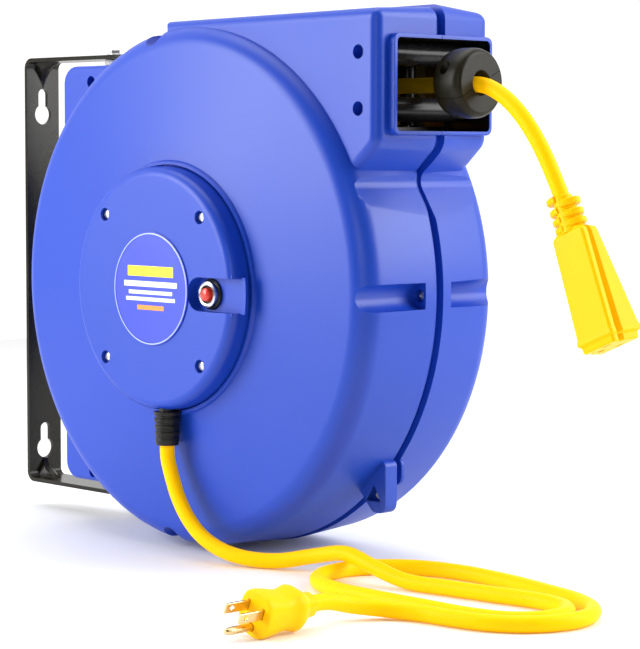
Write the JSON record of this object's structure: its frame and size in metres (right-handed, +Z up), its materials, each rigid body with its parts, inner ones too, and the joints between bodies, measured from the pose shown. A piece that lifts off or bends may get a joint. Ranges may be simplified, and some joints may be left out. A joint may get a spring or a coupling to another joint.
{
  "type": "retractable extension cord reel",
  "caption": "Wall-mounted retractable extension cord reel with a swivelling round casing, roller-guided outlet cord, stop ball, triple tap and supply cord with plug.",
  "frame": {"origin": "centre of the wall plate's back face", "axes": "+X out of the wall towards the cord mouth, +Z up, the hub cover with the reset button on the -Y side"},
  "size_m": [0.61, 0.331, 0.3754],
  "materials": {
    "casing_blue": "satin royal blue moulded shell",
    "label": "plain printed plate without lettering",
    "bracket_black": "gloss black powder coat",
    "zinc": "bright zinc",
    "cord_yellow": "satin yellow jacket and mouldings",
    "black_plastic": "satin black",
    "ball_grey": "satin dark grey",
    "red_plastic": "gloss red",
    "nylon": "natural nylon",
    "brass": "bright brass",
    "spring_steel": "blued spring steel"
  },
  "bodies": {
    "bracket": {"wall_bracket": "bracket_black", "pivot_bolt_top": "zinc", "pivot_bolt_bottom": "zinc", "pivot_washer_top": "nylon", "pivot_washer_bottom": "nylon"},
    "casing": {"front_shell": "casing_blue", "rear_shell": "casing_blue", "hub_cover": "casing_blue", "rear_cover": "casing_blue", "hub_screw_1": "zinc", "hub_screw_2": "zinc", "hub_screw_3": "zinc", "hub_screw_4": "zinc", "label_plate": "label", "rim_screw_1": "zinc", "rim_screw_2": "zinc", "rim_screw_3": "zinc", "lug_screw": "zinc", "lower_roller_pin": "zinc", "upper_roller_pin": "zinc", "front_roller_pin": "zinc", "rear_roller_pin": "zinc", "cord_guide": "black_plastic", "main_axle": "zinc", "brush_holder": "black_plastic", "contact_brush_1": "brass", "contact_brush_2": "brass", "contact_brush_3": "brass", "power_spring": "spring_steel", "pawl_pin": "zinc", "pawl_spring": "spring_steel", "breaker_body": "black_plastic", "breaker_collar": "black_plastic", "breaker_nut": "zinc", "strain_relief": "black_plastic", "supply_cord": "cord_yellow", "plug_body": "cord_yellow", "plug_blade_1": "brass", "plug_blade_2": "brass", "ground_pin": "brass"},
    "lower_roller": {"lower_roller": "black_plastic"},
    "upper_roller": {"upper_roller": "black_plastic"},
    "front_roller": {"front_roller": "black_plastic"},
    "rear_roller": {"rear_roller": "black_plastic"},
    "drum": {"drum_barrel": "black_plastic", "front_flange": "black_plastic", "rear_flange": "black_plastic", "drum_bush": "nylon", "ratchet_ring": "zinc", "slip_ring_rotor": "nylon", "slip_ring_1": "brass", "slip_ring_2": "brass", "slip_ring_3": "brass", "wound_cord": "cord_yellow"},
    "pawl": {"pawl": "zinc"},
    "reset_button": {"reset_button": "red_plastic"},
    "cord_end": {"outlet_cord": "cord_yellow", "stop_ball_upper": "ball_grey", "stop_ball_lower": "ball_grey", "triple_tap": "cord_yellow"}
  },
  "joints": [
    {"name": "casing_swivel", "type": "hinge", "parent": "bracket", "child": "casing", "pos_m": [0.0965, 0, 0], "axis": [0, 0, 1], "range_deg": [-80, 80]},
    {"name": "drum_spin", "type": "hinge", "parent": "casing", "child": "drum", "pos_m": [0.247, 0, 0], "axis": [0, 1, 0], "range_deg": [0, 45], "stiffness_Nm_per_rad": 1.1},
    {"name": "cord_pull", "type": "slide", "parent": "casing", "child": "cord_end", "axis": [1, 0, 0], "range_m": [0, 0.1085]},
    {"name": "lower_roller_spin", "type": "hinge", "parent": "casing", "child": "lower_roller", "pos_m": [0.4097, 0, 0.1218], "axis": [0, 1, 0], "continuous": true},
    {"name": "upper_roller_spin", "type": "hinge", "parent": "casing", "child": "upper_roller", "pos_m": [0.4097, 0, 0.1582], "axis": [0, 1, 0], "continuous": true},
    {"name": "front_roller_spin", "type": "hinge", "parent": "casing", "child": "front_roller", "pos_m": [0.385, -0.014, 0.1376], "axis": [0, 0, 1], "continuous": true},
    {"name": "rear_roller_spin", "type": "hinge", "parent": "casing", "child": "rear_roller", "pos_m": [0.385, 0.014, 0.1376], "axis": [0, 0, 1], "continuous": true},
    {"name": "reset_press", "type": "slide", "parent": "casing", "child": "reset_button", "axis": [0, 1, 0], "range_m": [0, 0.002], "stiffness_N_per_m": 500},
    {"name": "pawl_swing", "type": "hinge", "parent": "casing", "child": "pawl", "pos_m": [0.19501, -0.0475, -0.14283], "axis": [0, 1, 0], "range_deg": [-12, 12], "stiffness_Nm_per_rad": 0.02}
  ],
  "couplings": [
    {"joint": "cord_pull", "follows": "drum_spin", "m_per_rad": 0.1376}
  ]
}
